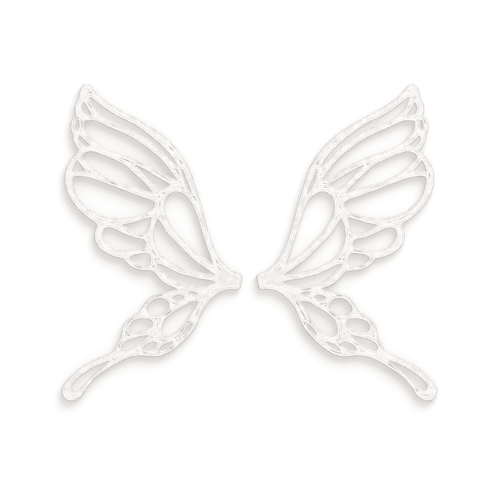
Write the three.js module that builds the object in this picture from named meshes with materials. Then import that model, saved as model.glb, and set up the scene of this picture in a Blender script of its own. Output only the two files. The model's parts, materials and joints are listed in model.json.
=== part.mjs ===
// A pair of small openwork fairy wings, each printed as one flat plate: forewing, hindwing, swallow tail and a
// blunt root tab in one piece. Millimetres, +Z up. The pair lies flat on the XY plane with a gap between the two
// root tabs; X runs across the pair, Y from the tails to the wing tips, and the origin is under the middle of both.
import * as THREE from 'three';

// Driving dimensions
const LAYER_HEIGHT = 0.2;
const LAYER_COUNT = 8;
const THICKNESS = LAYER_HEIGHT * LAYER_COUNT;
const CURVE_STEPS = 2; // straight steps between two neighbouring points of a curve
const RIGHT = 1; // the side that a wing is on, as the sign of its x
const LEFT = -1;

const PRINTED_PLASTIC = { color: '#ebe7df', roughness: 0.35, metalness: 0 };

// One wing's outline as [distance out from the pair's middle line, height]. Each row is a smooth stretch, or a
// straight edge where it has two points, and ends where the next begins: the rows' ends are the outline's corners.
const OUTLINE = [
  // leading edge from the root tab up to the rounded wing tip, then down to the first notch of the outer edge
  [
    [1.5, -5.9], [2.6, -5.4], [3.7, -4.8], [4.8, -3.8], [5.9, -2.4], [6.7, -0.8], [7.5, 1.5], [8.3, 4.1], [9, 7],
    [9.7, 9.3], [10.4, 11.4], [11.2, 13.8], [12.3, 15.9], [13.6, 17.7], [15.1, 19.4], [17, 21], [19.1, 22.4],
    [21.4, 23.7], [23.8, 25], [26.1, 26.3], [28, 27.7], [29.3, 28.9], [30, 29.9], [30.8, 30.2], [31.6, 30],
    [32.1, 29.4], [32.3, 28.4], [32.6, 27.2], [33.1, 26.3], [33.2, 25.3], [33, 24.1],
  ],
  // upper scallop
  [[33, 24.1], [33.7, 23.4], [34, 22.5], [33.9, 21.4], [33.6, 20.6], [33.5, 19.6], [33.1, 18.7], [32.4, 17.7]],
  // great outer scallop
  [
    [32.4, 17.7], [33.2, 16.7], [34.1, 15.6], [34.8, 14.3], [35.1, 12.6], [35, 11], [34.5, 9.4], [33.7, 7.9],
    [32.4, 6.3], [30.8, 4.8], [29.5, 4], [29, 3.3],
  ],
  // two lower scallops, the second running in to the root notch
  [[29, 3.3], [29.4, 2.3], [29.5, 1.1], [29.1, -0.2], [28.2, -1.3], [26.9, -2.1], [25.5, -2.7], [24, -3]],
  [
    [24, -3], [23.4, -3.7], [22.5, -4.5], [21.1, -5.1], [19.6, -5.3], [18.5, -5.4], [17.7, -6.1], [16.7, -7.2],
    [15.5, -8], [13.9, -8.7],
  ],
  // hindwing: upper scallop
  [[13.9, -8.7], [15.5, -9.1], [17.4, -9.6], [18.8, -10.2], [19.8, -11.1], [20.3, -12.1], [21, -13.1]],
  // hindwing: lower scallop, out round the swallow tail, and back along the lower edge to the root tab
  [
    [21, -13.1], [22.1, -13.7], [23.2, -14.5], [23.9, -15.4], [24.3, -16.7], [24.5, -17.9], [25.1, -18.9],
    [25.3, -19.6], [26, -20.5], [27.3, -21.2], [29, -21.9], [30.9, -22.9], [32.6, -24], [34.1, -25.4],
    [35.1, -26.6], [35.7, -27.8], [35.5, -28.9], [34.8, -29.8], [33.6, -30], [32.5, -29.6], [31.6, -28.8],
    [31, -27.7], [30.1, -26.6], [29, -25.4], [27.6, -24.4], [25.9, -23.3], [24.2, -22.4], [22.5, -21.7],
    [20.8, -21.4], [18.9, -21.6], [17, -21.5], [15.1, -20.7], [13.2, -19.3], [11.5, -17.6], [10.3, -16.1],
    [9.6, -14.7], [9, -13.3], [8.1, -11.7], [6.9, -10.4], [5.6, -9.4], [4.1, -8.9], [2, -8.8],
  ],
  // blunt end of the root tab, with its two corners taken off
  [[2, -8.8], [1.7, -8.4]],
  [[1.7, -8.4], [1.3, -6.3]],
  [[1.3, -6.3], [1.5, -5.9]],
];

// The cells between the veins, all cut right through, in the same form as the outline. A cell of one row is smooth
// all round but for the point where it closes.
const FOREWING_CELLS = {
  leading_cell: [
    [[30.2, 27.6], [29.1, 26.8], [27.1, 25.3], [24.6, 23.8], [22.1, 22.6], [19.7, 20.9], [17.6, 19.3],
      [15.9, 17.6], [14.6, 16.1], [13.8, 14.8]],
    [[13.8, 14.8], [15.1, 15.8], [16.4, 17.3], [18, 18.8], [19.9, 20.1], [21.9, 21.4], [24.2, 22.3],
      [26.5, 23.2], [28.4, 24.5], [29.4, 25.7], [30.1, 26.8], [30.2, 27.6]],
  ],
  tip_cell: [
    [[31.4, 26.6], [30.8, 25.7], [30.1, 24.3]],
    [[30.1, 24.3], [31.4, 24.7]],
    [[31.4, 24.7], [31.7, 25.6], [31.4, 26.6]],
  ],
  upper_scallop_slot: [
    [[32.5, 23.3], [32.4, 22.6], [32.5, 21.9], [32.8, 21.6], [32.9, 22.3], [32.8, 22.9], [32.5, 23.3]],
  ],
  upper_scallop_cell: [
    [[32.2, 20.3], [31.4, 19.5], [30.4, 18.6]],
    [[30.4, 18.6], [31.1, 18.4], [31.9, 19], [32.4, 19.7], [32.2, 20.3]],
  ],
  second_cell: [
    [[31.3, 23.1], [30.1, 23.2], [28.8, 23], [26.9, 22.1], [24.6, 21.1], [22.5, 20.1], [20.6, 18.9],
      [18.7, 17.5], [16.8, 15.8], [15.3, 14], [13.9, 12.1]],
    [[13.9, 12.1], [15.1, 12.5], [16.8, 13.4], [18.9, 14.7], [21.2, 15.8], [23.7, 16.8], [26.1, 17.6],
      [28, 18.5], [29.7, 19.7], [30.9, 21], [31.3, 22.1], [31.3, 23.1]],
  ],
  third_cell: [
    [[18.5, 9.7], [20, 10.1], [22.1, 10.8], [24.4, 11.3], [26.5, 12.2], [28.6, 13.4], [30.3, 14.8],
      [31.4, 15.7], [31.7, 16.3], [31.4, 16.9], [30.3, 17.3], [29, 17.1], [26.9, 16.3], [25, 15.4],
      [23.7, 14.8], [22.1, 13.3], [20.4, 11.8], [18.5, 9.7]],
  ],
  wedge_cell: [
    [[21.5, 14.7], [19.5, 13.7], [17.4, 12.4], [15.2, 11.1]],
    [[15.2, 11.1], [16.1, 10.5], [17, 10.2]],
    [[17, 10.2], [18.5, 11.6], [20, 13.1], [21.5, 14.7]],
  ],
  leading_edge_slit: [
    [[12.8, 14], [12.2, 12.5], [11.6, 11.1], [11.1, 9.6]],
    [[11.1, 9.6], [11.8, 10.6], [12.4, 12.1], [12.8, 14]],
  ],
  outer_triangle: [
    [[32.7, 15.6], [32, 14.7], [31.3, 13.8]],
    [[31.3, 13.8], [32.4, 13.7], [33.5, 13.7]],
    [[33.5, 13.7], [33.2, 14.7], [32.7, 15.6]],
  ],
  large_oval: [
    [[33.2, 12.6], [31.8, 12.6], [29.9, 12.2], [27.6, 11.4], [25.2, 10.5], [22.7, 9.5], [20.2, 8.6],
      [18.7, 8.1], [18, 7.4], [18.5, 6.5], [20, 5.6], [22.3, 5], [24.8, 4.8], [27.3, 5.1], [29.5, 6],
      [31.4, 7.4], [32.7, 9.1], [33.3, 10.8], [33.5, 11.9], [33.2, 12.6]],
  ],
  teardrop: [
    [[7.1, -3.8], [8.5, -2.8], [10.2, -1.6], [11.9, 0.1], [13.7, 1.9], [15, 3.7], [15.9, 5.6], [16.1, 7.4],
      [15.5, 8.9], [14.1, 9.7], [12.6, 9.3], [11.4, 8.2], [10.6, 6.7], [9.9, 4.7], [9.4, 3.3], [8.8, 1.2],
      [8, -1.2], [7.1, -3.8]],
  ],
  petal_cell: [
    [[24, 3.4], [22.1, 3.8], [20.2, 4.4], [18.7, 4.8]],
    [[18.7, 4.8], [19, 3.5], [19.4, 2.4], [19.8, 1.9]],
    [[19.8, 1.9], [21, 1.9], [22.5, 2.4], [24, 3.4]],
  ],
  second_teardrop: [
    [[17.4, 4.5], [16.6, 3.3], [15.7, 1.9], [14.3, 0.4], [12.8, -1.1], [11.3, -2.6], [9.6, -4], [8.1, -5],
      [6.7, -6]],
    [[6.7, -6], [8.1, -5.8], [10, -5.4], [12.1, -4.9], [14, -4.1], [15.7, -3.1], [17, -1.9], [17.8, -0.4],
      [18.1, 1.3], [18, 2.9], [17.4, 4.5]],
  ],
  scallop_cell: [
    [[27.5, 2.7], [26.5, 2.9], [25.2, 2.4], [23.7, 1.7], [22.1, 1], [20.8, 0.8], [20, 0.5], [19.7, -0.2],
      [20.1, -0.9], [21.4, -1.2], [23.3, -1.4], [25.2, -1.2], [26.6, -0.5], [27.6, 0.7], [27.9, 1.8],
      [27.5, 2.7]],
  ],
  small_scallop_cell: [
    [[22.7, -2.8], [22, -2.3], [20.8, -2.1], [19.5, -2], [18.9, -2.6], [18.9, -3.7], [19.5, -4.3],
      [20.6, -4.3], [21.9, -3.8], [22.5, -3.2], [22.7, -2.8]],
  ],
  crescent: [
    [[17.4, -4], [16.4, -4.3], [14.9, -5.1], [13.2, -5.9], [11.3, -6.4], [9.2, -6.9], [7.7, -7.1],
      [6.6, -7.4]],
    [[6.6, -7.4], [7.9, -8], [9.4, -8.3], [11.3, -8.2], [13.2, -7.7], [14.7, -6.8], [16.1, -5.5],
      [17.1, -4.7], [17.4, -4]],
  ],
};

const HINDWING_CELLS = {
  root_slot_outer: [
    [[14.4, -10.3], [13.6, -9.9], [12.7, -10], [12.5, -10.4], [13.2, -10.7], [14, -10.6], [14.4, -10.3]],
  ],
  root_slot_inner: [[[11.4, -9.3], [10.7, -9.3], [9.9, -9.6], [10.7, -9.8], [11.4, -9.3]]],
  upper_round_cell: [
    [[18, -10.7], [16.8, -10.5], [15.8, -10.9], [15.3, -11.7], [15.5, -12.7], [16.6, -13.4], [18.1, -13.5],
      [19.2, -13], [19.4, -12.3], [18.8, -11.3], [18, -10.7]],
  ],
  lower_round_cell: [
    [[21.2, -14.5], [19.9, -14.4], [18.8, -14.6], [18.4, -15.3], [18.8, -15.9], [20, -16.5], [21.4, -16.9],
      [22.4, -16.7], [22.8, -15.9], [22.3, -15], [21.2, -14.5]],
  ],
  hind_teardrop: [
    [[9.9, -11.1], [11.3, -11.3], [12.8, -12.2], [14.5, -13.2], [15.9, -14.4], [16.5, -15.8], [16.6, -17],
      [16, -17.6], [14.9, -17.4], [13.8, -16.7], [12.8, -15.8], [11.8, -14.6], [11.1, -13.3], [10.3, -12],
      [9.9, -11.1]],
  ],
  lower_edge_slit: [
    [[10.9, -15.3], [11.2, -16.2], [11.9, -16.9], [12.7, -17.3]],
    [[12.7, -17.3], [12.2, -16.5], [11.6, -15.7], [10.9, -15.3]],
  ],
  long_cell: [
    [[19.4, -17.6], [20.6, -17.8], [22.1, -18.2], [23.4, -18.7], [24.2, -19.5], [24.2, -20.1], [23.5, -20.4],
      [22.3, -19.9], [21.2, -19.2], [20.2, -18.5], [19.4, -17.6]],
  ],
  lens_cell: [
    [[17.5, -19.1], [18.2, -18.8], [19.4, -19.2], [20.2, -19.9], [20, -20.3], [19, -20.3], [18.1, -19.8],
      [17.5, -19.1]],
  ],
  narrow_lens: [
    [[14.7, -18.8], [15.9, -19.2], [16.8, -19.8], [17.1, -20.4]],
    [[17.1, -20.4], [16.3, -20.2], [15.3, -19.6], [14.7, -18.8]],
  ],
  tail_teardrop: [
    [[26.7, -22.4], [28.2, -23], [29.9, -23.8], [31.6, -24.9], [32.9, -26], [33.7, -27.1], [33.4, -27.9],
      [32.6, -27.9], [31.6, -27.1], [30.5, -25.9], [29.2, -24.6], [27.8, -23.5], [26.7, -22.4]],
  ],
};

// The closed curve through rows of points, anticlockwise. side mirrors it to the left or the right wing.
function closedCurve(rows, side) {
  const place = ([x, y]) => new THREE.Vector2(side * x, y);
  const start = place(rows[0][0]);
  const path = new THREE.Path();
  path.moveTo(start.x, start.y);
  for (const row of rows) {
    const next = row.slice(1).map(place);
    if (next.length === 1) {
      path.lineTo(next[0].x, next[0].y);
    } else {
      path.splineThru(next);
    }
  }
  const points = path.getPoints(CURVE_STEPS);
  return THREE.ShapeUtils.isClockWise(points) ? points.reverse() : points;
}

// The flat outline of one wing with its cells as holes.
function wingShape(side) {
  const shape = new THREE.Shape(closedCurve(OUTLINE, side));
  for (const cell of Object.values({ ...FOREWING_CELLS, ...HINDWING_CELLS })) {
    shape.holes.push(new THREE.Path(closedCurve(cell, side)));
  }
  return shape;
}

// One wing as a plate that lies on the table, centred along Y on its own length.
function wing(name, side) {
  const geometry = new THREE.ExtrudeGeometry(wingShape(side), { depth: THICKNESS, bevelEnabled: false });
  geometry.computeBoundingBox();
  const middle = geometry.boundingBox.getCenter(new THREE.Vector3());
  geometry.translate(0, -middle.y, 0);
  const mesh = new THREE.Mesh(geometry, new THREE.MeshStandardMaterial(PRINTED_PLASTIC));
  mesh.name = name;
  return mesh;
}

const group = new THREE.Group();
group.add(wing('left_wing', LEFT));
group.add(wing('right_wing', RIGHT));

export default group;
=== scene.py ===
"""A pair of openwork fairy wings, printed flat in natural translucent filament, lying on a white table.

Each wing is one print, so each is one closed mesh: a top layer whose printed lines run side by side round
the wing's outline and its windows, walls that show the stack of layers, and a nearly smooth first layer
underneath.
"""

import json
import logging
import math
from collections.abc import Callable
from dataclasses import dataclass, field
from enum import Enum

import bmesh
import bpy
from bmesh.types import BMEdge, BMesh, BMLayerItem, BMVert
from mathutils import Matrix, Vector, noise
from mathutils.bvhtree import BVHTree
from mathutils.geometry import delaunay_2d_cdt


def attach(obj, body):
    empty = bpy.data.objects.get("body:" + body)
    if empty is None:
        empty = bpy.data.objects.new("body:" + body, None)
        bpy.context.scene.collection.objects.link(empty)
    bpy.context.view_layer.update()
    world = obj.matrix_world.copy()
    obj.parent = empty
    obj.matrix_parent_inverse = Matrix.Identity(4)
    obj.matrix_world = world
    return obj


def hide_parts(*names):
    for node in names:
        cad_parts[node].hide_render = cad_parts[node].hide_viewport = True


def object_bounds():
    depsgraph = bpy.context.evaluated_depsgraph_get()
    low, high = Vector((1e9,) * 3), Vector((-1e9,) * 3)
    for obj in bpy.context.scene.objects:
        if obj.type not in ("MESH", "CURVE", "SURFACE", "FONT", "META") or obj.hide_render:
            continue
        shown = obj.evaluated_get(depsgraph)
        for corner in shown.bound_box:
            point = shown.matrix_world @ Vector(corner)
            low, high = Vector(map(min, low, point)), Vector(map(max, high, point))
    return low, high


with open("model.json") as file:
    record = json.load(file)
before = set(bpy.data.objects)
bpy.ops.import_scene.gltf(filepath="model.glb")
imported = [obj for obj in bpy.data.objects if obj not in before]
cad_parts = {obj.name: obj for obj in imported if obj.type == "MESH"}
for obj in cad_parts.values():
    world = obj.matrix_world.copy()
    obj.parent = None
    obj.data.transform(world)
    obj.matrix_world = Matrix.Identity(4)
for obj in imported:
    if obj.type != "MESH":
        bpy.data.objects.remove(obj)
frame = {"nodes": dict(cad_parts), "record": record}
CAD_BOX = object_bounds()

MM = 0.001
PAINTED_SHADE = "painted_line_shade"  # vertex attribute of painted shade: 0 on a line's crown, up to 1 down in a gap between lines
OPENNESS = "openness"  # vertex attribute of the walls: 0 in a narrow window, 1 in a wide one and outside
CAD_MERGE = 1e-7  # vertices of the CAD mesh that are closer than this, in metres, are one
SKIN_MERGE = 1e-8  # the same for the finished wing, whose underside meets the foot of its walls
SAME_POINT = 1e-9  # points of a skin that are closer than this, in metres, are one
WHOLE_HULL = 0  # asks the triangulation for all triangles within the points' outer hull
LEVEL_FACE = 0.5  # a face whose normal's height is more than this is level, and not a wall
LOOK_TURNS = (0.0137, 2.113, 4.207)  # radians, uneven so that no look runs along a wall or a grid line
SkinRule = Callable[[float, float, float], tuple[Vector, float]]
log = logging.getLogger("fairy_wings")


def srgb(hex_colour: str) -> tuple[float, float, float, float]:
    """Turns an sRGB hex colour into the linear colour that the shaders use, by the sRGB standard's curve.

    Args:
        hex_colour: Six hex digits with a leading #.

    Returns:
        Linear red, green and blue, and an alpha of 1.
    """
    parts = [int(hex_colour[i:i + 2], 16) / 255 for i in (1, 3, 5)]
    red, green, blue = [p / 12.92 if p <= 0.04045 else ((p + 0.055) / 1.055) ** 2.4 for p in parts]
    return red, green, blue, 1.0


def add_node(
    tree: bpy.types.NodeTree,
    kind: str,
    settings: dict[str | int, object] | None = None,
    links: dict[str | int, bpy.types.NodeSocket] | None = None,
) -> bpy.types.Node:
    """Adds a shader node with its settings and the links into it.

    Args:
        tree: The node tree to add to.
        kind: The node's type name.
        settings: Values by input name or number, or by property name where the node has no such input.
        links: Output sockets by the name or number of the input that they feed.

    Returns:
        The new node.
    """
    node = tree.nodes.new(kind)
    for name, value in (settings or {}).items():
        if isinstance(name, int) or name in node.inputs:
            node.inputs[name].default_value = value
        else:
            setattr(node, name, value)
    for name, socket in (links or {}).items():
        tree.links.new(socket, node.inputs[name])
    return node


def smoothstep(low: float, high: float, value: float) -> float:
    """Eases from 0 to 1 as a value goes from low to high."""
    share = min(1.0, max(0.0, (value - low) / (high - low)))
    return share * share * (3 - 2 * share)


class Side(Enum):
    """The wing of the pair, as the CAD node that it stands for."""

    LEFT = "left_wing"
    RIGHT = "right_wing"


@dataclass(frozen=True)
class PrintLine:
    """One printed line of plastic, and how lines lie beside and on each other. Sizes are in metres.

    Attributes:
        width: From one line's middle to the next one's.
        layer: Height of a layer.
        edge_round: How far the outermost line's crown falls away at the wall.
        crown_power: How flat a crown is: the higher, the flatter, with a narrower furrow beside it.
        furrow_depth: Depth of the furrow where two lines run side by side.
        gap_depth: Extra depth where two lines don't quite meet.
        wall_groove: Depth of the groove between two layers in a wall.
        underside_groove: Depth of the furrows in the first layer, which the printer's bed pressed flat.
        edge_steps: Where the outermost line gets vertices, in widths from the wall.
        steps: Where every further line gets them, in widths from the furrow before it.
    """

    width: float = 0.44 * MM
    layer: float = 0.2 * MM
    edge_round: float = 0.05 * MM
    crown_power: float = 2.2
    furrow_depth: float = 0.048 * MM
    gap_depth: float = 0.14 * MM
    wall_groove: float = 0.035 * MM
    underside_groove: float = 0.03 * MM
    edge_steps: tuple[float, ...] = (0.12, 0.28, 0.5, 0.7, 0.86)
    steps: tuple[float, ...] = (0.0, 0.14, 0.3, 0.5, 0.7, 0.86)

    def valley(self, depth: float) -> float:
        """How near a place is to the furrow between two lines.

        Args:
            depth: Distance in from the wall.

        Returns:
            0 on a crown and outside the outermost crown, 1 in a furrow.
        """
        if depth <= self.width / 2:
            return 0.0
        return self.furrow(depth, self.width)

    def furrow(self, across: float, pitch: float) -> float:
        """How near a place is to a furrow of even rows: 0 midway between two furrows, 1 in one."""
        return abs(2 * (across / pitch % 1) - 1) ** self.crown_power

    def edge(self, depth: float) -> float:
        """How near a place is to the wall: 1 at the wall, 0 on the outermost line's crown."""
        across = max(0.0, 1 - depth / (self.width / 2))
        return 1 - math.sqrt(1 - across ** self.crown_power)

    def levels(self, deepest: float) -> list[float]:
        """Distances in from the wall at which the top skin gets a loop of vertices.

        Args:
            deepest: The greatest distance from any wall.

        Returns:
            The distances in rising order, without the wall itself.
        """
        found = [step * self.width for step in self.edge_steps]
        lines = math.ceil(deepest / self.width)
        found += [(line + step) * self.width for line in range(1, lines) for step in self.steps]
        return [level for level in found if level < deepest]


@dataclass(frozen=True)
class Unevenness:
    """How the print strays from even lines. Sizes are in metres.

    Attributes:
        sway: How far a line sways to the side at most.
        sway_size: Length over which the sway changes.
        sway_apart: Shift that makes the sway across differ from the sway along, for x and for y.
        furrow_size: Length over which furrows get shallower or deeper.
        furrow_least: The shallowest furrow, as a share of the full depth.
        furrow_range: Noise values between which furrows go from shallowest to full.
        slit_size: Length over which slits between lines open and close.
        slit_range: Noise values between which a slit goes from closed to open.
        slit_least: Depth of an open slit between lines that run side by side, as a share of the full depth.
        meeting_reach: How far ahead of a place the middle between two walls is looked for.
        meeting_range: Rise of the depth over that reach, as a share of it: the middle's own, and a slope's.
        ripple: Height by which the crowns rise and fall.
        ripple_size: Length over which they do.
    """

    sway: float = 0.05 * MM
    sway_size: float = 0.9 * MM
    sway_apart: tuple[float, float] = (31 * MM, 47 * MM)
    furrow_size: float = 1.1 * MM
    furrow_least: float = 0.4
    furrow_range: tuple[float, float] = (-0.35, 0.35)
    slit_size: float = 1.6 * MM
    slit_range: tuple[float, float] = (0.0, 0.2)
    slit_least: float = 0.15
    meeting_reach: float = 0.16 * MM
    meeting_range: tuple[float, float] = (0.1, 0.8)
    ripple: float = 0.004 * MM
    ripple_size: float = 0.8 * MM


@dataclass(frozen=True)
class PaintedLineShades:
    """How much painted shade darkens each part of a line below a crown's colour, from 0 to 1, for the
    PAINTED_SHADE attribute.

    Attributes:
        outline: At the wing's outline.
        window: At a window's edge.
        rim_fade: Where the shade of an edge begins to fade and where it ends, in widths from the wall.
        furrow: In a furrow between two lines.
        slit: More, in an open slit between lines that run side by side.
        meeting_slit: More, in a slit midway between two walls.
        fill: On the rows that fill the root tab.
        fill_furrow: More, between those rows.
        wall_groove: In the groove between two layers.
        underside_furrow: In a furrow of the underside.
    """

    outline: float = 0.64
    window: float = 0.55
    rim_fade: tuple[float, float] = (0.25, 0.55)
    furrow: float = 0.28
    slit: float = 0.05
    meeting_slit: float = 0.38
    fill: float = 0.06
    fill_furrow: float = 0.18
    wall_groove: float = 0.3
    underside_furrow: float = 0.35


@dataclass(frozen=True)
class RootFill:
    """The straight slanting rows that fill the middle of a wing's root tab. Sizes are in metres.

    Attributes:
        start: Distance in from the wall where the rows begin.
        fade: Half the width over which the printed lines there give way to the rows.
        reach: How far from the tab's middle they go.
        pitch: From one row to the next.
        slant: The rows' angle to the line across the pair.
        drop: How far the rows' crowns lie below the wing's top, and as much again between them.
    """

    start: float = 0.8 * MM
    fade: float = 0.055 * MM
    reach: float = 2.3 * MM
    pitch: float = 0.4 * MM
    slant: float = math.radians(38)
    drop: float = 0.03 * MM


class Walls:
    """The upright walls of a CAD wing: its outline and the edges of its windows.

    Attributes:
        low: Lowest corner of the walls' box.
        high: Highest corner of the walls' box.
        middle: Half the walls' height, where all distances are measured.
        looks: The directions in which holds looks.
        tree: The walls' faces, for finding the nearest one.
        rims: The points along the walls' upper edge, loop by loop.
        outer: By number of a wall's face, whether it belongs to the outline.
    """

    low: Vector
    high: Vector
    middle: float
    looks: list[Vector]
    tree: BVHTree
    rims: list[list[Vector]]
    outer: list[bool]

    def __init__(self, node: bpy.types.Object) -> None:
        """Takes the walls and their upper rim from a merged copy of the node's mesh.

        Args:
            node: The CAD wing.
        """
        body = bmesh.new()
        body.from_mesh(node.data)
        bmesh.ops.remove_doubles(body, verts=body.verts, dist=CAD_MERGE)
        body.normal_update()
        level = [face for face in body.faces if abs(face.normal.z) > LEVEL_FACE]
        bmesh.ops.delete(body, geom=level, context="FACES")
        self.low = Vector(min(v.co[i] for v in body.verts) for i in range(3))
        self.high = Vector(max(v.co[i] for v in body.verts) for i in range(3))
        self.middle = (self.low.z + self.high.z) / 2
        self.looks = [Vector((math.cos(turn), math.sin(turn), 0)) for turn in LOOK_TURNS]
        self.tree = BVHTree.FromBMesh(body)
        rim = [e for e in body.edges if e.is_boundary and e.verts[0].co.z > self.middle]
        self.rims = [[v.co.to_2d() for v in loop] for loop in vertex_loops(rim)]
        outline = max(self.rims, key=loop_width)
        places = {(p.x, p.y) for p in outline}
        self.outer = [any((v.co.x, v.co.y) in places for v in face.verts) for face in body.faces]
        body.free()

    def depth(self, x: float, y: float) -> float:
        """Distance from a point to the nearest wall."""
        return self.tree.find_nearest((x, y, self.middle))[3]

    def beside_outline(self, x: float, y: float) -> bool:
        """Whether the nearest wall is the wing's outer one, and not a window's."""
        return self.outer[self.tree.find_nearest((x, y, self.middle))[2]]

    def away(self, x: float, y: float) -> Vector:
        """The direction in the plane that leads away from the nearest wall, of length 1."""
        near = self.tree.find_nearest((x, y, self.middle))[0]
        return Vector((x - near.x, y - near.y)).normalized()

    def holds(self, x: float, y: float) -> bool:
        """Whether a point is in the plastic, and not in a window or outside, by the most of three looks.

        Args:
            x: Place across the pair.
            y: Place up the wing.

        Returns:
            True in the plastic.
        """
        votes = 0
        for look in self.looks:
            normal = self.tree.ray_cast((x, y, self.middle), look)[1]
            votes += normal is not None and normal.dot(look) > 0
        return votes > len(self.looks) / 2


def loop_width(loop: list[Vector]) -> float:
    """How far a loop of points reaches from side to side."""
    return max(p.x for p in loop) - min(p.x for p in loop)


def vertex_loops(edges: list[BMEdge]) -> list[list[BMVert]]:
    """Orders edges that form closed loops.

    Args:
        edges: Edges of which each vertex has two.

    Returns:
        The vertices of each loop, in order.
    """
    ends: dict[BMVert, list[BMVert]] = {}
    for edge in edges:
        first, second = edge.verts
        ends.setdefault(first, []).append(second)
        ends.setdefault(second, []).append(first)
    loops = []
    seen: set[BMVert] = set()
    for start in ends:
        if start in seen:
            continue
        loop = [start]
        seen.add(start)
        following = ends[start][0]
        while following not in seen:
            loop.append(following)
            seen.add(following)
            onward = [v for v in ends[following] if v not in seen]
            if not onward:
                break
            following = onward[0]
        loops.append(loop)
    return loops


def thinned(loop: list[Vector], longest: float, turn: float) -> list[Vector]:
    """Drops points of a closed loop where it runs nearly straight.

    Args:
        loop: Points of the loop, in order.
        longest: The longest step to leave, in metres.
        turn: The turn between two kept points that keeps a point, in radians.

    Returns:
        The points that are kept.
    """
    kept = [loop[0]]
    turned = 0.0
    for i in range(1, len(loop)):
        before = loop[i] - loop[i - 1]
        after = loop[(i + 1) % len(loop)] - loop[i]
        if before.length > 0 and after.length > 0:
            turned += before.angle_signed(after)
        if abs(turned) > turn or (loop[i] - kept[-1]).length > longest:
            kept.append(loop[i])
            turned = 0.0
    return kept


def rim_inward(rim: list[BMEdge]) -> dict[BMVert, Vector]:
    """Finds the direction into the plastic at each vertex of a skin's rim, square to the wall there.

    Args:
        rim: The rim's edges, each with the skin on one side only.

    Returns:
        A direction of length 1 in the plane, by vertex.
    """
    inward: dict[BMVert, Vector] = {}
    for edge in rim:
        first, second = edge.verts
        along = second.co - first.co
        across = Vector((-along.y, along.x, 0)).normalized()
        if (edge.link_faces[0].calc_center_median() - first.co).dot(across) < 0:
            across = -across
        for vert in edge.verts:
            inward[vert] = inward.get(vert, Vector((0, 0, 0))) + across
    return {vert: direction.normalized() for vert, direction in inward.items()}


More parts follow.
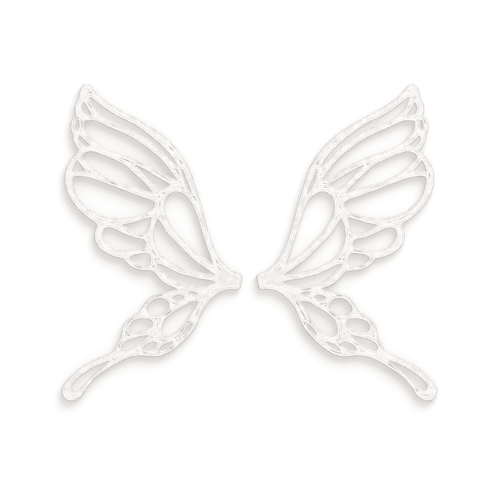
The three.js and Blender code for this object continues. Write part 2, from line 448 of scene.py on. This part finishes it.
@dataclass
class PrintedWing:
    """One wing as it comes off the printer. Sizes are in metres.

    Attributes:
        side: Which wing of the pair.
        seed: Picks the noise, so that the two wings' flaws differ.
        line: The printed line.
        uneven: How the lines stray.
        painted_shades: How much painted shade darkens the lines' parts.
        fill: The rows in the root tab.
        field_pitch: Spacing of the grid on which distances from the walls are measured.
        longest_step: The longest edge along a printed line.
        turn: The turn of a printed line that gets a vertex, in radians.
        window_widths: Mean widths of a window up to which it is narrow and from which it is wide.
        outside_openness: The openness round the outline, which faces no other wall.
        outline_share: The outline spans more than this share of the wing's width, and no window does.
        smallest_loop: A loop with fewer points is left out.
        walls: The CAD wing's walls.
        root: Middle of the root tab.
        contours: The loops that the printed lines follow, by distance in from the walls.
        painted_shade_layer: The mesh's layer for the PAINTED_SHADE attribute, which holds the painted shade.
        openness_layer: The mesh's layer for the OPENNESS attribute.
    """

    side: Side
    seed: float
    line: PrintLine = PrintLine()
    uneven: Unevenness = Unevenness()
    painted_shades: PaintedLineShades = PaintedLineShades()
    fill: RootFill = RootFill()
    field_pitch: float = 0.1 * MM
    longest_step: float = 0.34 * MM
    turn: float = math.radians(14)
    window_widths: tuple[float, float] = (1.5 * MM, 5.2 * MM)
    outside_openness: float = 1.0
    outline_share: float = 0.9
    smallest_loop: int = 4
    walls: Walls = field(init=False)
    root: Vector = field(init=False)
    contours: dict[float, list[list[Vector]]] = field(init=False)
    painted_shade_layer: BMLayerItem = field(init=False)
    openness_layer: BMLayerItem = field(init=False)

    def build(self) -> bpy.types.Object:
        """Makes the wing's closed mesh.

        Returns:
            The wing as an object of the scene.
        """
        self.walls = Walls(frame["nodes"][self.side.value])
        self.root = self.find_root()
        self.contours = self.depth_contours()
        body = bmesh.new()
        self.painted_shade_layer = body.verts.layers.float.new(PAINTED_SHADE)
        self.openness_layer = body.verts.layers.float.new(OPENNESS)
        rim = self.add_skin(body, self.walls.rims, list(self.contours), self.fill_points(), self.top_point)
        foot = [[v.co.to_2d() for v in loop] for loop in vertex_loops(self.add_walls(body, rim))]
        self.add_skin(body, foot, self.underside_levels(), [], self.underside_point)
        bmesh.ops.remove_doubles(body, verts=body.verts, dist=SKIN_MERGE)
        bmesh.ops.recalc_face_normals(body, faces=body.faces)
        for face in body.faces:
            face.smooth = True
        log.info("%s: %d open edges", self.side.value, sum(not e.is_manifold for e in body.edges))
        mesh = bpy.data.meshes.new(f"{self.side.value}_print")
        body.to_mesh(mesh)
        body.free()
        wing = bpy.data.objects.new(f"{self.side.value}_print", mesh)
        bpy.context.scene.collection.objects.link(wing)
        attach(wing, self.side.value)
        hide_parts(self.side.value)
        return wing

    def find_root(self) -> Vector:
        """Finds the middle of the flat tab by which the wing is fastened, at the mount on its upper face.

        Returns:
            The place in the plane.
        """
        name = self.side.value.replace("wing", "root_top")
        mount = next(m for m in frame["record"]["mounts"] if m["name"] == name)
        return Vector(mount["pos_m"][:2])

    def depth_contours(self) -> dict[float, list[list[Vector]]]:
        """Finds the loops at each distance in from the walls.

        A grid over the wing is lifted to the distance from the walls and peeled from below, level by level:
        the rim that each cut leaves is the loop at that distance.

        Returns:
            The loops' points, by distance.
        """
        low, high = self.walls.low, self.walls.high
        columns = math.ceil((high.x - low.x) / self.field_pitch)
        rows = math.ceil((high.y - low.y) / self.field_pitch)
        size = Matrix.Diagonal((columns * self.field_pitch / 2, rows * self.field_pitch / 2, 1, 1))
        middle = Matrix.Translation(((low.x + high.x) / 2, (low.y + high.y) / 2, 0))
        hill = bmesh.new()
        bmesh.ops.create_grid(hill, x_segments=columns, y_segments=rows, size=1, matrix=middle @ size)
        for vert in hill.verts:
            depth = self.walls.depth(vert.co.x, vert.co.y)
            vert.co.z = depth if self.walls.holds(vert.co.x, vert.co.y) else -depth
        bmesh.ops.triangulate(hill, faces=hill.faces)
        deepest = max(v.co.z for v in hill.verts)
        contours = {}
        for level in self.line.levels(deepest):
            everything = hill.verts[:] + hill.edges[:] + hill.faces[:]
            bmesh.ops.bisect_plane(
                hill, geom=everything, dist=0, plane_co=(0, 0, level), plane_no=(0, 0, 1), clear_inner=True
            )
            rim = [edge for edge in hill.edges if edge.is_boundary]
            loops = [[v.co.to_2d() for v in loop] for loop in vertex_loops(rim)]
            thin = [thinned(loop, self.longest_step, self.turn) for loop in loops]
            contours[level] = [loop for loop in thin if len(loop) >= self.smallest_loop]
        hill.free()
        return contours

    def underside_levels(self) -> list[float]:
        """Picks the few distances that the almost flat underside needs: each furrow and its two edges.

        Returns:
            Distances in from the wall.
        """
        width = self.line.width
        wanted = (0.0, self.line.steps[1], self.line.steps[-1])
        rounding = 0.01
        picked = []
        for level in self.contours:
            step = level / width % 1
            if level > width / 2 and min(abs(step - w) for w in wanted) < rounding:
                picked.append(level)
        return picked

    def fill_points(self) -> list[Vector]:
        """Lays points along the straight rows that fill the middle of the root tab.

        Returns:
            Points in the plane, four across each row.
        """
        points = []
        fill = self.fill
        along_step = fill.pitch / 2
        across_step = fill.pitch / 4
        along = round(fill.reach / along_step)
        across = round(fill.reach / across_step)
        turn = Matrix.Rotation(fill.slant, 2)
        for i in range(-across, across + 1):
            for j in range(-along, along + 1):
                point = self.root + turn @ Vector((j * along_step, i * across_step))
                inside = self.walls.holds(point.x, point.y)
                if inside and self.walls.depth(point.x, point.y) > fill.start + fill.fade:
                    points.append(point)
        return points

    def in_fill(self, x: float, y: float, depth: float) -> float:
        """How much a place belongs to the straight rows in the root tab.

        Args:
            x: Place across the pair.
            y: Place up the wing.
            depth: Distance in from the wall.

        Returns:
            0 outside the rows, 1 among them.
        """
        fill = self.fill
        away = (Vector((x, y)) - self.root).length
        near = 1 - smoothstep(fill.reach, fill.reach + self.line.width, away)
        return near * smoothstep(fill.start - fill.fade, fill.start + fill.fade, depth)

    def wobble(self, x: float, y: float, size: float) -> float:
        """Smooth irregularity of the print, from about -1 to 1, with features of the given size."""
        return noise.noise(Vector((x / size, y / size, self.seed)))

    def midway(self, x: float, y: float, depth: float) -> float:
        """How near a place is to the middle between two walls, where lines from both sides meet.

        Args:
            x: Place across the pair.
            y: Place up the wing.
            depth: Distance in from the wall.

        Returns:
            0 where the next wall is far, 1 in the middle.
        """
        reach = self.uneven.meeting_reach
        away = self.walls.away(x, y)
        beyond = self.walls.depth(x + away.x * reach, y + away.y * reach)
        return 1 - smoothstep(*self.uneven.meeting_range, (beyond - depth) / reach)

    def top_point(self, x: float, y: float, depth: float) -> tuple[Vector, float]:
        """Where a point of the top layer lies, and how much painted shade it gets.

        Args:
            x: Place across the pair.
            y: Place up the wing.
            depth: Distance in from the wall.

        Returns:
            The point, and its painted shade from 0 to 1.
        """
        line, uneven, painted_shades, fill = self.line, self.uneven, self.painted_shades, self.fill
        # The outermost line: it falls away at the wall, and painted shade darkens it there.
        inner = smoothstep(line.width / 4, line.width, depth)
        drop = line.edge_round * line.edge(depth)
        painted_rim_shade = painted_shades.outline if self.walls.beside_outline(x, y) else painted_shades.window
        fade_start, fade_end = painted_shades.rim_fade
        shade = painted_rim_shade * (1 - smoothstep(fade_start * line.width, fade_end * line.width, depth))
        # The furrows, deeper in some places than in others, with painted shade that deepens with them.
        valley = line.valley(depth)
        noisy = smoothstep(*uneven.furrow_range, self.wobble(x, y, uneven.furrow_size))
        rough = uneven.furrow_least + (1 - uneven.furrow_least) * noisy
        drop += line.furrow_depth * valley * rough
        shade += painted_shades.furrow * valley * rough
        # The slits, deepest where the lines of two walls meet, and darkened there most with painted shade.
        meeting = self.midway(x, y, depth) * inner
        slit = smoothstep(*uneven.slit_range, self.wobble(x, y, uneven.slit_size)) * valley
        drop += line.gap_depth * slit * (uneven.slit_least + (1 - uneven.slit_least) * meeting)
        shade += slit * (painted_shades.slit + painted_shades.meeting_slit * meeting)
        # The rows in the root tab take the place of all that, with a little painted shade on them and more
        # between them.
        filled = self.in_fill(x, y, depth)
        if filled > 0:
            turned = y * math.cos(fill.slant) - x * math.sin(fill.slant)
            row = line.furrow(turned, fill.pitch)
            drop += filled * (fill.drop * (1 + row) - drop)
            shade += filled * (painted_shades.fill + painted_shades.fill_furrow * row - shade)
        drop += uneven.ripple * (1 + self.wobble(x, y, uneven.ripple_size)) * inner
        sway = uneven.sway * inner
        apart_x, apart_y = uneven.sway_apart
        place = Vector((
            x + sway * self.wobble(x + apart_x, y, uneven.sway_size),
            y + sway * self.wobble(x, y + apart_y, uneven.sway_size),
            self.walls.high.z - drop,
        ))
        return place, min(1.0, shade)

    def underside_point(self, x: float, y: float, depth: float) -> tuple[Vector, float]:
        """Where a point of the first layer lies, pressed almost flat, and how much painted shade it gets.

        Args:
            x: Place across the pair.
            y: Place up the wing.
            depth: Distance in from the wall.

        Returns:
            The point, and its painted shade from 0 to 1.
        """
        valley = self.line.valley(depth)
        place = Vector((x, y, self.walls.low.z + self.line.underside_groove * valley))
        return place, self.painted_shades.underside_furrow * valley

    def add_skin(
        self,
        body: BMesh,
        rims: list[list[Vector]],
        levels: list[float],
        extra: list[Vector],
        rule: SkinRule,
    ) -> list[BMEdge]:
        """Adds the top or the bottom skin, with its vertices along the printed lines.

        Args:
            body: The wing's mesh.
            rims: The loops round the wing and its windows.
            levels: The distances in from the wall that get a loop of vertices.
            extra: Loose points that get a vertex too.
            rule: Gives a vertex's place and painted shade from its place in the plane and its distance in.

        Returns:
            The skin's rim.
        """
        points: list[Vector] = []
        depths: list[float] = []
        edges: list[tuple[int, int]] = []
        loops = [(0.0, loop) for loop in rims]
        loops += [(level, loop) for level in levels for loop in self.contours[level]]
        for depth, loop in loops:
            start = len(points)
            points += loop
            depths += [depth] * len(loop)
            edges += [(start + i, start + (i + 1) % len(loop)) for i in range(len(loop))]
        points += extra
        depths += [self.walls.depth(point.x, point.y) for point in extra]
        places, _, faces, origins, _, _ = delaunay_2d_cdt(points, edges, [], WHOLE_HULL, SAME_POINT, True)
        verts = []
        for place, origin in zip(places, origins):
            depth = depths[origin[0]] if origin else self.walls.depth(place.x, place.y)
            spot, shade = rule(place.x, place.y, depth)
            vert = body.verts.new(spot)
            vert[self.painted_shade_layer] = shade
            verts.append(vert)
        made = []
        for corners in faces:
            centre = sum((places[i] for i in corners), Vector((0, 0))) / len(corners)
            if self.walls.holds(centre.x, centre.y):
                made.append(body.faces.new([verts[i] for i in corners]))
        bmesh.ops.delete(body, geom=[v for v in verts if not v.link_faces], context="VERTS")
        return [edge for face in made for edge in face.edges if edge.is_boundary]

    def openness(self, loop: list[Vector]) -> float:
        """How open the space beside a wall is.

        Args:
            loop: The points round the outline or round a window.

        Returns:
            0 in a narrow window, 1 in a wide one and outside the wing.
        """
        if loop_width(loop) > self.outline_share * (self.walls.high.x - self.walls.low.x):
            return self.outside_openness
        sides = list(zip(loop, loop[1:] + loop[:1]))
        area = abs(sum(a.cross(b) for a, b in sides)) / 2
        around = sum((b - a).length for a, b in sides)
        return smoothstep(*self.window_widths, 4 * area / around)

    def add_walls(self, body: BMesh, rim: list[BMEdge]) -> list[BMEdge]:
        """Adds the walls, ring by ring down from the top skin's rim, so that each layer bulges.

        Args:
            body: The wing's mesh.
            rim: The top skin's rim.

        Returns:
            The walls' foot.
        """
        line = self.line
        for loop in vertex_loops(rim):
            openness = self.openness([vert.co.to_2d() for vert in loop])
            for vert in loop:
                vert[self.openness_layer] = openness
        inward = rim_inward(rim)
        places = {vert: (vert.co.copy(), inward[vert]) for vert in inward}
        layers = round((self.walls.high.z - self.walls.low.z) / line.layer)
        rings = []
        for layer in range(layers - 1, 0, -1):
            rings.append((layer * line.layer, line.wall_groove))
            rings.append(((layer - 0.5) * line.layer, 0.0))
        rings.append((0.0, 0.0))
        for height, inset in rings:
            made = bmesh.ops.extrude_edge_only(body, edges=rim)["geom"]
            rim = [item for item in made if isinstance(item, BMEdge)]
            below = {}
            for vert in [item for item in made if isinstance(item, BMVert)]:
                neighbours = [edge.other_vert(vert) for edge in vert.link_edges]
                above = next(other for other in neighbours if other in places)
                place, direction = places[above]
                below[vert] = (place, direction)
                vert.co = place + direction * inset
                vert.co.z = self.walls.low.z + height
                # Painted shade in the grooves between layers.
                vert[self.painted_shade_layer] = self.painted_shades.wall_groove if inset else 0.0
                vert[self.openness_layer] = above[self.openness_layer]
            places = below
        return rim

    def dress(self, wing: bpy.types.Object, finish: "NaturalFilament") -> None:
        """Gives the wing its finish."""
        wing.data.materials.append(finish.material())


@dataclass(frozen=True)
class NaturalFilament:
    """Natural PLA, extruded by a hot nozzle and left as printed. Sizes are in metres.

    Attributes:
        crown: Colour along a line's crown.
        painted_shade_colour: Painted shade colour, which a gap or an edge takes, where less light gets out.
        roughness: Typical of PLA that cooled in the air.
        roughness_waver: How far the grain takes the roughness down and up.
        ior: Refractive index of PLA.
        scatter_scale: How far light spreads in the milky plastic.
        lamp_light: Share of the lamp's light that walls beside narrow windows let through.
        lamp_light_beside_wide_window: The same in the open, where no wall opposite adds its own.
        sky_light: Share of the surround's light that the plastic lets through.
        cloud_size: Size of the milky clouds, two or three lines wide, over which the flow of plastic wavers.
        cloud_detail: How many finer clouds are added to them.
        shade_waver: How far the clouds take the shade down and up.
        grain_size: Size of the surface's grain as drawn.
        grain_detail: How many finer grains are added.
        grain_height: Height of the grain.
        grain_strength: How much of that height the bump shows.
        noise_range: The values between which noise mostly lies.
    """

    crown: str = "#f5f4f3"
    painted_shade_colour: str = "#aaa19f"
    roughness: float = 0.3
    roughness_waver: tuple[float, float] = (-0.06, 0.1)
    ior: float = 1.46
    scatter_scale: float = 0.32 * MM
    lamp_light: str = "#ece8e4"
    lamp_light_beside_wide_window: str = "#c8c3bf"
    sky_light: str = "#eeecea"
    cloud_size: float = 1.2 * MM
    cloud_detail: float = 3.0
    shade_waver: tuple[float, float] = (-0.08, 0.1)
    # Real PLA's grain is about 0.05 mm, too fine to show, so it is drawn three times as coarse.
    grain_size: float = 0.16 * MM
    grain_detail: float = 2.0
    grain_height: float = 0.008 * MM
    grain_strength: float = 0.35
    noise_range: tuple[float, float] = (0.3, 0.7)

    def material(self) -> bpy.types.Material:
        """Makes the material.

        Returns:
            The new material.
        """
        # To the eye: milky white that glows a little from within, with a satin sheen along each line's crown,
        # and painted shade, a warm grey, in the furrows and slits between lines and at the edges.
        material = bpy.data.materials.new("natural_pla_as_printed")
        material.use_nodes = True
        tree = material.node_tree
        tree.nodes.clear()
        place = add_node(tree, "ShaderNodeTexCoord").outputs["Object"]
        cloud = add_node(
            tree,
            "ShaderNodeTexNoise",
            {"Scale": 1 / self.cloud_size, "Detail": self.cloud_detail},
            {"Vector": place},
        )
        grain = add_node(
            tree,
            "ShaderNodeTexNoise",
            {"Scale": 1 / self.grain_size, "Detail": self.grain_detail},
            {"Vector": place},
        )
        shade = add_node(tree, "ShaderNodeAttribute", {"attribute_name": PAINTED_SHADE})
        from_noise = {"From Min": self.noise_range[0], "From Max": self.noise_range[1]}
        # The shade of each line wavers a little, where the nozzle laid down more plastic or less.
        waver = add_node(
            tree,
            "ShaderNodeMapRange",
            from_noise | {"To Min": self.shade_waver[0], "To Max": self.shade_waver[1]},
            {"Value": cloud.outputs["Fac"]},
        )
        # The painted shade from the PAINTED_SHADE attribute, with the clouds' waver added.
        depth = add_node(
            tree,
            "ShaderNodeMath",
            {"operation": "ADD", "use_clamp": True},
            {0: shade.outputs["Fac"], 1: waver.outputs["Result"]},
        )
        colour = add_node(
            tree,
            "ShaderNodeMix",
            {"data_type": "RGBA", 6: srgb(self.crown), 7: srgb(self.painted_shade_colour)},
            {0: depth.outputs["Value"]},
        )
        smoothest, roughest = [self.roughness + waver for waver in self.roughness_waver]
        gloss = add_node(
            tree,
            "ShaderNodeMapRange",
            from_noise | {"To Min": smoothest, "To Max": roughest},
            {"Value": grain.outputs["Fac"]},
        )
        bump = add_node(
            tree,
            "ShaderNodeBump",
            {"Strength": self.grain_strength, "Distance": self.grain_height},
            {"Height": grain.outputs["Fac"]},
        )
        shader = add_node(
            tree,
            "ShaderNodeBsdfPrincipled",
            {
                "IOR": self.ior,
                "Subsurface Weight": 1.0,
                "Subsurface Radius": (1.0, 1.0, 1.0),
                "Subsurface Scale": self.scatter_scale,
            },
            {
                "Base Color": colour.outputs[2],
                "Roughness": gloss.outputs["Result"],
                "Normal": bump.outputs["Normal"],
            },
        )
        # Milky plastic dims the lamp and the sky but doesn't stop them, so its shadows stay pale.
        path = add_node(tree, "ShaderNodeLightPath")
        openness = add_node(tree, "ShaderNodeAttribute", {"attribute_name": OPENNESS})
        lamp_colour = add_node(
            tree,
            "ShaderNodeMix",
            {"data_type": "RGBA", 6: srgb(self.lamp_light), 7: srgb(self.lamp_light_beside_wide_window)},
            {0: openness.outputs["Fac"]},
        )
        lamp = add_node(tree, "ShaderNodeBsdfTransparent", None, {"Color": lamp_colour.outputs[2]})
        sky = add_node(tree, "ShaderNodeBsdfTransparent", {"Color": srgb(self.sky_light)})
        lit = add_node(
            tree,
            "ShaderNodeMixShader",
            None,
            {0: path.outputs["Is Shadow Ray"], 1: shader.outputs["BSDF"], 2: lamp.outputs["BSDF"]},
        )
        surface = add_node(
            tree,
            "ShaderNodeMixShader",
            None,
            {0: path.outputs["Is Diffuse Ray"], 1: lit.outputs["Shader"], 2: sky.outputs["BSDF"]},
        )
        add_node(tree, "ShaderNodeOutputMaterial", None, {"Surface": surface.outputs["Shader"]})
        return material


@dataclass(frozen=True)
class Tabletop:
    """A plain white tabletop under the wings. Sizes are in metres.

    Attributes:
        size: Length of its sides.
        gap: How far it lies below the wings, so that the two surfaces stay apart.
        colour: Its colour.
        roughness: Its roughness.
        gloss: Strength of its sheen.
    """

    size: float = 1.2
    gap: float = 0.02 * MM
    colour: str = "#fbfbfb"
    roughness: float = 0.9
    gloss: float = 0.0

    def build(self) -> bpy.types.Object:
        """Makes the tabletop just under the wings.

        Returns:
            The tabletop.
        """
        low = CAD_BOX[0]
        sheet = bmesh.new()
        bmesh.ops.create_grid(sheet, x_segments=1, y_segments=1, size=self.size / 2)
        bmesh.ops.translate(sheet, vec=(0, 0, low.z - self.gap), verts=sheet.verts)
        mesh = bpy.data.meshes.new("tabletop")
        sheet.to_mesh(mesh)
        sheet.free()
        table = bpy.data.objects.new("tabletop", mesh)
        bpy.context.scene.collection.objects.link(table)
        self.dress(table)
        return table

    def dress(self, table: bpy.types.Object) -> None:
        """Gives the tabletop its finish.

        Args:
            table: The tabletop.
        """
        # To the eye: painted board, rolled matte, so an even near-white without sheen that shows pale shadows.
        material = bpy.data.materials.new("matte_white_board")
        material.use_nodes = True
        shader = material.node_tree.nodes["Principled BSDF"]
        shader.inputs["Base Color"].default_value = srgb(self.colour)
        shader.inputs["Roughness"].default_value = self.roughness
        shader.inputs["Specular IOR Level"].default_value = self.gloss
        table.data.materials.append(material)


@dataclass(frozen=True)
class Studio:
    """Soft light from the upper right, a white surround, and a camera straight above.

    Attributes:
        view_width: Width of table that the camera sees.
        camera_height: Height of the camera above the table.
        aim: The place that the camera looks down on.
        sensor_width: Width of the camera's sensor, in millimetres.
        nearest: The nearest distance that the camera shows.
        lamp_azimuth: The lamps' direction round the table, from the pair's right.
        lamp_distance: The lamps' distance.
        key_elevation: The soft box's angle above the table.
        key_size: Side of the soft box.
        key_power: Power of the soft box, in watts.
        glint_elevation: The small lamp's angle above the table.
        glint_size: Side of the small lamp.
        glint_power: Power of the small lamp, in watts.
        surround: Strength of the white surround.
    """

    view_width: float = 95 * MM
    camera_height: float = 1.5
    aim: tuple[float, float] = (0.1 * MM, -1.4 * MM)
    sensor_width: float = 36.0
    nearest: float = 0.01
    lamp_azimuth: float = math.radians(64)
    lamp_distance: float = 2.0
    key_elevation: float = math.radians(40)
    key_size: float = 1.5
    key_power: float = 33.0
    glint_elevation: float = math.radians(52)
    glint_size: float = 0.8
    glint_power: float = 1.2
    surround: float = 0.6

    def lamp(self, name: str, size: float, power: float, elevation: float) -> None:
        """Adds a square lamp that shines at the middle from the upper right.

        Args:
            name: The lamp's name.
            size: Its side in metres.
            power: Its power in watts.
            elevation: Its angle above the table.
        """
        bulb = bpy.data.lights.new(name, "AREA")
        bulb.shape = "SQUARE"
        bulb.size = size
        bulb.energy = power
        holder = bpy.data.objects.new(name, bulb)
        flat = math.cos(elevation)
        across = flat * math.cos(self.lamp_azimuth)
        along = flat * math.sin(self.lamp_azimuth)
        towards = Vector((across, along, math.sin(elevation)))
        holder.location = towards * self.lamp_distance
        holder.rotation_euler = (-towards).to_track_quat("-Z", "Y").to_euler()
        bpy.context.scene.collection.objects.link(holder)

    def light(self) -> None:
        """Adds the soft box, the small lamp whose glints run along the lines, and the surround."""
        self.lamp("soft_box", self.key_size, self.key_power, self.key_elevation)
        self.lamp("glint_lamp", self.glint_size, self.glint_power, self.glint_elevation)
        world = bpy.data.worlds.new("white_surround")
        world.use_nodes = True
        background = world.node_tree.nodes["Background"]
        background.inputs["Color"].default_value = srgb("#ffffff")
        background.inputs["Strength"].default_value = self.surround
        bpy.context.scene.world = world
        bpy.context.scene.view_settings.view_transform = "Standard"

    def camera(self) -> None:
        """Adds the camera, straight above the pair."""
        lens = bpy.data.cameras.new("camera")
        lens.sensor_width = self.sensor_width
        lens.lens = self.sensor_width * self.camera_height / self.view_width
        lens.clip_start = self.nearest
        camera = bpy.data.objects.new("camera", lens)
        camera.location = (*self.aim, self.camera_height)
        bpy.context.scene.collection.objects.link(camera)
        bpy.context.scene.camera = camera


def main() -> None:
    """Builds the wings, the tabletop and the studio."""
    logging.basicConfig(level=logging.INFO, format="%(name)s: %(message)s")
    finish = NaturalFilament()
    for side, seed in ((Side.LEFT, 3.7), (Side.RIGHT, 8.2)):
        wing = PrintedWing(side, seed)
        piece = wing.build()
        wing.dress(piece, finish)
        log.info("%s: %d faces", piece.name, len(piece.data.polygons))
    Tabletop().build()
    studio = Studio()
    studio.light()
    studio.camera()


if __name__ == "__main__":
    main()
